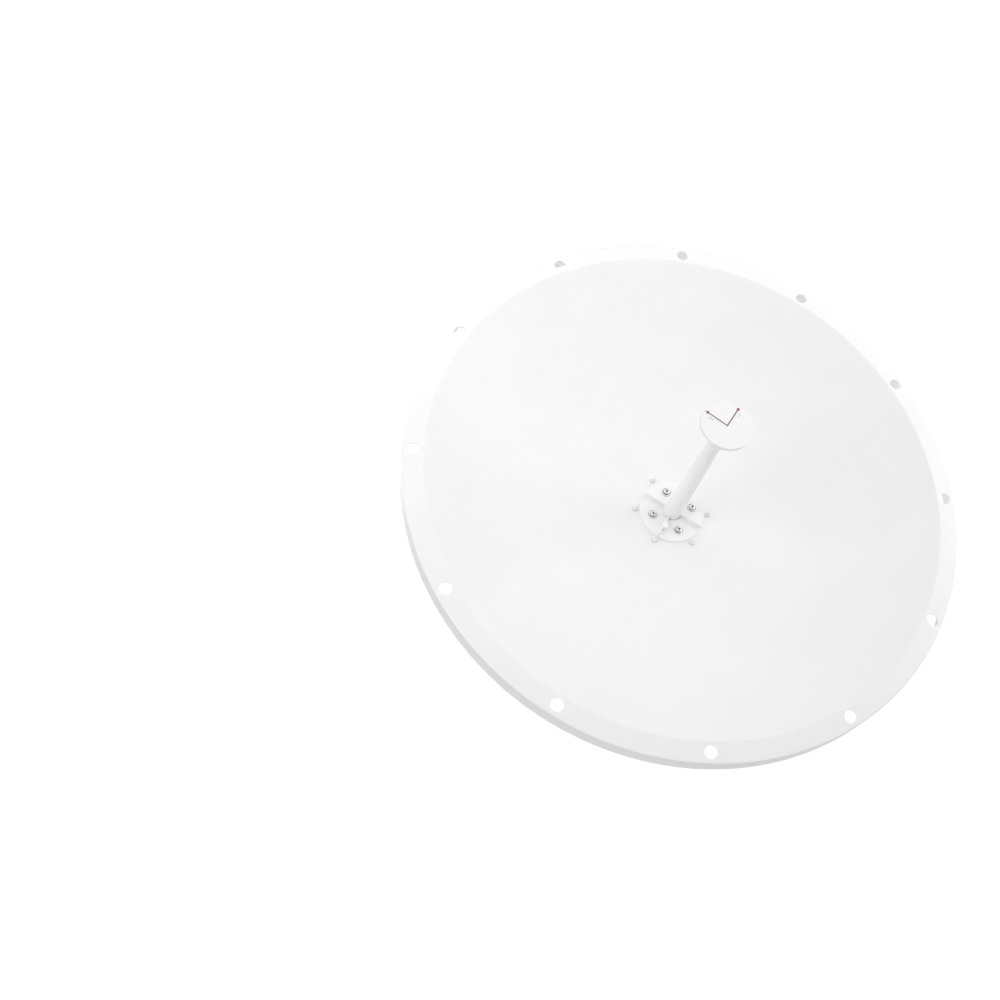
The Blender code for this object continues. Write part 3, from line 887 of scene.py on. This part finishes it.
def make_pan_head_screw(number, x, y):
    """A pan-head screw with a cross recess, with a dark cross on its floor as painted shade."""
    shape = bmesh.new()
    head = rounded([
        (0, HEAD_TOP),
        (3.4, HEAD_TOP - 0.15, 3.0),
        (HEAD_RADIUS - 0.4, HEAD_TOP - 1.2, 1.4),
        (HEAD_RADIUS, HEAD_TOP - 2.6, 0.8),
        (HEAD_RADIUS - 0.1, HEAD_LOW, 0.3),
        (SHANK_RADIUS, HEAD_LOW),
        (SHANK_RADIUS, SHANK_END),
        (0, SHANK_END),
    ], steps=4)
    spin(shape, head, 56, at(x, y))
    screw = as_object(f"pan_head_screw_{number}", shape, 34)
    turned = at(x, y, turn=37 * number - 17)
    cut_recess(screw, turned, HEAD_TOP, arm=3.5, half_width=1.0, depth=3.0, sharp=34)
    dress(screw, STAINLESS, "stainless_steel", f"feed_screw_{number}")

    # A dark cross on the recess's floor: painted shade.
    shape = bmesh.new()
    levels = ((HEAD_TOP - 3.1, 0.6, 0.6), (HEAD_TOP - 1.1, 1.0, 1.0))
    add_cross(shape, turned, arm=2.75, half_width=0.62, levels=levels)
    piece(f"screw_recess_shade_{number}", shape, SPRING_STEEL_AND_SHADE, "stainless_steel")


def make_screws():
    """The four screws through the foot, each on its washers."""
    for number in range(1, 5):
        x, y = on_circle(SCREW_CIRCLE, 90 * number - 45)
        make_flat_washer(number, x, y)
        make_split_washer(number, x, y)
        make_pan_head_screw(number, x, y)


# Pieces behind the reflector.


def make_backing_ring():
    """The flat ring that the rivets hold behind the sheet."""
    shape = bmesh.new()
    spin(shape, washer_profile(RING_BORE, RING_RADIUS, RING_BACK, SHEET_BACK, 0.6), 144)
    piece("backing_ring_plate", shape, POWDER_COAT, "reflector_paint", "backing_ring", sharp=32)


def make_pillars():
    """Four turned pillars, slimmer between their ends."""
    waist = PILLAR_RADIUS - 0.4
    profile = rounded([
        (0, RING_BACK),
        (PILLAR_RADIUS, RING_BACK, 0.8),
        (PILLAR_RADIUS, RING_BACK - 6.3, 0.3),
        (waist, RING_BACK - 6.9, 0.2),
        (waist, PLATE_FRONT + 6.9, 0.2),
        (PILLAR_RADIUS, PLATE_FRONT + 6.3, 0.3),
        (PILLAR_RADIUS, PLATE_FRONT, 0.8),
        (0, PLATE_FRONT),
    ], steps=3)
    for number in range(1, 5):
        shape = bmesh.new()
        spin(shape, profile, 56, at(*on_circle(SCREW_CIRCLE, 90 * number - 45)))
        piece(f"turned_pillar_{number}", shape, ALUMINIUM, "bare_aluminium", f"pillar_{number}", sharp=30)


def make_mounting_plate():
    """The round plate, with four bolt holes and four countersunk screw holes."""
    sharp = 30
    edge_ring = PLATE_RADIUS - 2.5
    shape = bmesh.new()
    line = rounded([
        (0, PLATE_FRONT),
        (edge_ring, PLATE_FRONT),
        (PLATE_RADIUS, PLATE_FRONT, 1.0),
        (PLATE_RADIUS, 0.0, 1.0),
        (edge_ring, 0.0),
        (0, 0.0),
    ])
    spin(shape, line, 160)
    plate = as_object("mounting_disc", shape, sharp)

    over = 3.0
    wide = PLATE_HOLE_RADIUS + PLATE_HOLE_EDGE + over
    hole = [
        (0, PLATE_FRONT + over),
        (wide, PLATE_FRONT + over),
        (PLATE_HOLE_RADIUS, PLATE_FRONT - PLATE_HOLE_EDGE),
        (PLATE_HOLE_RADIUS, PLATE_HOLE_EDGE),
        (wide, -over),
        (0, -over),
    ]
    holes = bmesh.new()
    for k in range(4):
        spin(holes, hole, 40, at(*on_circle(PLATE_HOLE_CIRCLE, 90 * k)))
    cut(plate, as_object("hole_cutter", holes, sharp), sharp)

    over = 2.0
    sink = [
        (0, PLATE_FRONT + over),
        (SINK_BORE, PLATE_FRONT + over),
        (SINK_BORE, SINK_RADIUS - SINK_BORE),
        (SINK_RADIUS, 0.0),
        (SINK_RADIUS + over, -over),
        (0, -over),
    ]
    sinks = bmesh.new()
    for k in range(4):
        spin(sinks, sink, 40, at(*on_circle(SCREW_CIRCLE, 45 + 90 * k)))
    cut(plate, as_object("sink_cutter", sinks, sharp), sharp)
    dress(plate, POWDER_COAT, "reflector_paint", "mounting_plate")


def make_plate_screws():
    """Countersunk screws, just under the plate's back face."""
    shank_end = 20.0
    head_radius = SINK_RADIUS - 0.4
    profile = rounded([
        (0, shank_end),
        (SHANK_RADIUS, shank_end),
        (SHANK_RADIUS, SUNK_FACE + 3.0),
        (head_radius, SUNK_FACE + 0.15, 0.25),
        (head_radius - 0.3, SUNK_FACE),
        (0, SUNK_FACE),
    ], steps=3)
    for number in range(1, 5):
        x, y = on_circle(SCREW_CIRCLE, 90 * number - 45)
        shape = bmesh.new()
        spin(shape, profile, 48, at(x, y))
        screw = as_object(f"countersunk_screw_{number}", shape, 30)
        flipped = at(x, y, SUNK_FACE, 31 * (number - 1)) @ Matrix.Rotation(math.pi, 4, "X")
        cut_recess(screw, flipped, 0, arm=3.0, half_width=0.7, depth=2.2, sharp=30)
        dress(screw, STAINLESS, "stainless_steel", f"plate_screw_{number}")


def make_feed_body():
    """The turned block behind the sheet, with a groove near its front and two flat pads."""
    shape = bmesh.new()
    groove_radius = BODY_RADIUS - 1.1
    profile = rounded([
        (0, BODY_FRONT),
        (BODY_RADIUS, BODY_FRONT, 0.6),
        (BODY_RADIUS, BODY_GROOVE + 1.2, 0.3),
        (groove_radius, BODY_GROOVE + 0.6),
        (groove_radius, BODY_GROOVE - 0.6),
        (BODY_RADIUS, BODY_GROOVE - 1.2, 0.3),
        (BODY_RADIUS, BODY_BACK, 1.2),
        (0, BODY_BACK),
    ], steps=3)
    spin(shape, profile, 96)
    pad = (PAD_REACH, PAD_SIDE, PAD_SIDE)
    for turn in (180, 270):
        block(shape, pad, (PAD_REACH / 2, 0, SOCKET_HEIGHT), 1.2, at(0, 0, turn=turn))
    piece("feed_body_block", shape, ALUMINIUM, "bare_aluminium", "feed_body", sharp=30)


def barrel_profile():
    """A socket's barrel: its collar, its thread and its plain end outwards, then its bore inwards."""
    line = [
        (0, SOCKET_FACE - 0.7),
        (COLLAR_RADIUS, SOCKET_FACE - 0.7),
        (COLLAR_RADIUS, SOCKET_FACE),
        (COLLAR_RADIUS, THREAD_START - 0.8),
        (THREAD_ROOT, THREAD_START - 0.4),
    ]
    for k in range(THREAD_TURNS):
        line += [
            (THREAD_ROOT, THREAD_START + THREAD_PITCH * k),
            (THREAD_CREST, THREAD_START + THREAD_PITCH * (k + 0.45)),
            (THREAD_CREST, THREAD_START + THREAD_PITCH * (k + 0.6)),
        ]
    return line + [
        (THREAD_ROOT, BARREL_END - 1.9),
        (THREAD_ROOT, BARREL_END - 0.5),
        (THREAD_ROOT - 0.4, BARREL_END),
        (BARREL_BORE + 0.2, BARREL_END),
        (BARREL_BORE, BARREL_END - 0.2),
        (BARREL_BORE, BARREL_FLOOR),
        (0, BARREL_FLOOR),
    ]


def insulator_profile():
    """The disc on the floor of the barrel's bore."""
    radius, top = BARREL_BORE - 0.05, BARREL_FLOOR + 1.2
    return rounded([
        (0, top),
        (radius, top, 0.2),
        (radius, BARREL_FLOOR - 0.1),
        (0, BARREL_FLOOR - 0.1),
    ], steps=2)


def contact_profile():
    """The bored pin in the middle of the barrel."""
    bore_floor, foot = CONTACT_END - 1.9, BARREL_FLOOR + 0.6
    return rounded([
        (0, bore_floor),
        (CONTACT_BORE, bore_floor),
        (CONTACT_BORE, CONTACT_END),
        (CONTACT_RADIUS, CONTACT_END, 0.4),
        (CONTACT_RADIUS, foot),
        (0, foot),
    ], steps=3)


def socket_screw_profile():
    """A small round head with a hole in it, on the socket's flange."""
    hole, radius, top = 0.9, 2.4, SOCKET_FACE + 1.8
    return rounded([
        (0, SOCKET_FACE + 0.5),
        (hole, SOCKET_FACE + 0.5),
        (hole, top, 0.1),
        (radius - 0.1, top, 0.4),
        (radius, SOCKET_FACE),
        (0, SOCKET_FACE),
    ], steps=3)


def make_socket(side, turn):
    """A coaxial socket: a square flange with its screws, a barrel, an insulator and a gold contact."""
    out = at(0, 0, SOCKET_HEIGHT, turn) @ Matrix.Rotation(math.radians(90), 4, "Y")
    flange = (SOCKET_SIDE, SOCKET_SIDE, SOCKET_THICKNESS)
    shape = bmesh.new()
    block(shape, flange, (0, 0, SOCKET_FACE - SOCKET_THICKNESS / 2), 0.5, out)
    spin(shape, barrel_profile(), 56, out)
    piece(f"{side}_socket", shape, NICKEL, "nickel_plate", f"{side}_connector", sharp=26)

    shape = bmesh.new()
    spin(shape, insulator_profile(), 40, out)
    piece(f"{side}_socket_insulator", shape, INSULATOR, "nickel_plate", sharp=30)

    shape = bmesh.new()
    spin(shape, contact_profile(), 32, out)
    piece(f"{side}_socket_contact", shape, GOLD, "nickel_plate", sharp=30)

    shape = bmesh.new()
    for x, y in ((1, 1), (-1, 1), (-1, -1), (1, -1)):
        place = at(x * SOCKET_SCREW_PLACE, y * SOCKET_SCREW_PLACE)
        spin(shape, socket_screw_profile(), 28, out @ place)
    piece(f"{side}_socket_screws", shape, STAINLESS, "nickel_plate", sharp=34)


make_reflector()
make_foot()
make_tube()
make_cone()
make_cap()
make_arrows()
make_numbers()
make_rivets()
make_screws()
make_backing_ring()
make_pillars()
make_mounting_plate()
make_plate_screws()
make_feed_body()
make_socket("side", 180)
make_socket("bottom", 270)


# Studio.


def make_floor(radius, height, lift):
    """A pale round floor below the dish, lifted in tone where it is seen so that its shade stays pale."""
    shape = bmesh.new()
    bmesh.ops.create_circle(shape, cap_ends=True, segments=128, radius=radius)
    bmesh.ops.translate(shape, vec=(0, 0, height), verts=shape.verts)
    data = bpy.data.meshes.new("studio_floor")
    shape.to_mesh(data)
    shape.free()
    floor = bpy.data.objects.new("studio_floor", data)
    bpy.context.scene.collection.objects.link(floor)
    pale = bpy.data.materials.new("studio_floor_pale")
    pale.use_nodes = True
    tree = pale.node_tree
    shader = tree.nodes["Principled BSDF"]
    shader.inputs["Base Color"].default_value = (0.95, 0.95, 0.95, 1)
    shader.inputs["Roughness"].default_value = 0.9
    strength = node(tree, "ShaderNodeMath", operation="MULTIPLY")
    strength.inputs[1].default_value = lift
    tree.links.new(node(tree, "ShaderNodeLightPath").outputs["Is Camera Ray"], strength.inputs[0])
    tree.links.new(strength.outputs["Value"], shader.inputs["Emission Strength"])
    data.materials.append(pale)


def area_light(name, position, diameter, power):
    """A round soft light aimed at the dish, itself unseen."""
    data = bpy.data.lights.new(name, "AREA")
    data.shape = "DISK"
    data.size = diameter
    data.energy = power
    lamp = bpy.data.objects.new(name, data)
    lamp.location = position
    aim = Vector(LIGHT_TARGET) - Vector(position)
    lamp.rotation_euler = aim.to_track_quat("-Z", "Y").to_euler()
    lamp.visible_camera = False
    bpy.context.scene.collection.objects.link(lamp)


def make_world(parts, background):
    """Soft light from parts of the sky, and a white background that only the camera sees.

    A part is (direction, start, full, strength): it grows from nothing, where a ray's share along the
    direction is start, up to its strength at full.
    """
    world = bpy.data.worlds.new("studio")
    world.use_nodes = True
    bpy.context.scene.world = world
    tree = world.node_tree
    tree.nodes.clear()
    around = node(tree, "ShaderNodeBackground", Color=(1, 1, 1, 1))
    behind = node(tree, "ShaderNodeBackground", Color=(1, 1, 1, 1), Strength=background)
    direction = node(tree, "ShaderNodeTexCoord").outputs["Generated"]
    strengths = []
    for axis, start, full, strength in parts:
        dot = node(tree, "ShaderNodeVectorMath", operation="DOT_PRODUCT")
        dot.inputs[1].default_value = axis
        tree.links.new(direction, dot.inputs[0])
        ramp = node(tree, "ShaderNodeMapRange", From_Min=start, From_Max=full, To_Max=strength)
        tree.links.new(dot.outputs["Value"], ramp.inputs["Value"])
        strengths.append(ramp.outputs["Result"])
    total = strengths[0]
    for part in strengths[1:]:
        add = node(tree, "ShaderNodeMath", operation="ADD")
        tree.links.new(total, add.inputs[0])
        tree.links.new(part, add.inputs[1])
        total = add.outputs["Value"]
    tree.links.new(total, around.inputs["Strength"])
    mix = node(tree, "ShaderNodeMixShader")
    tree.links.new(node(tree, "ShaderNodeLightPath").outputs["Is Camera Ray"], mix.inputs["Fac"])
    tree.links.new(around.outputs["Background"], mix.inputs[1])
    tree.links.new(behind.outputs["Background"], mix.inputs[2])
    output = node(tree, "ShaderNodeOutputWorld")
    tree.links.new(mix.outputs["Shader"], output.inputs["Surface"])


def make_camera(location, degrees):
    """The photo's camera, which looks up at the dish from in front and below."""
    data = bpy.data.cameras.new("photo_camera")
    data.sensor_width = 36.0
    data.lens = 38.266
    data.shift_x = -0.14
    data.clip_end = 60
    camera = bpy.data.objects.new("photo_camera", data)
    camera.location = location
    camera.rotation_euler = [math.radians(a) for a in degrees]
    bpy.context.scene.collection.objects.link(camera)
    bpy.context.scene.camera = camera


# Parts of the sky: direction, where the part starts, where it is full, strength.
SKY = (
    ((0, 1, 0), 0.3, 0.9, 0.3),
    ((1, 0, 0), -0.3, 0.6, 0.72),
    ((-0.55, 0.6, -0.58), 0.3, 0.9, 0.25),
    ((0, 0.6, -0.8), 0.3, 0.9, 0.42),
)

# Soft lights: name, place, diameter in metres, power in watts.
LIGHTS = (
    ("front", (0, -2.8, 0.6), 2.4, 15.8),
    ("high_left", (-1.7, -2.2, 1.8), 2.4, 13.8),
    ("low_left", (-1.8, -2.2, -1.6), 2.4, 35.0),
    ("low_right", (1.7, -2.2, -1.6), 2.4, 5.4),
    ("near_high", (0, -0.9, 1.6), 1.4, 4.5),
    ("near_high_right", (1.3, -0.9, 1.2), 1.4, 10.9),
    ("near_left", (-1.5, -0.9, 0.3), 1.4, 7.5),
    ("behind", (0, 1.9, -0.5), 2.0, 8.9),
    ("behind_left", (-2.2, 1.2, 0.2), 1.6, 25.0),
)

make_floor(radius=6.0, height=-3.0, lift=0.4)
make_world(SKY, background=1.05)
for light in LIGHTS:
    area_light(*light)
make_camera((-0.02273, -1.87861, -1.05457), (124.3102, -27.3953, -16.0789))
bpy.context.scene.view_settings.view_transform = "Standard"
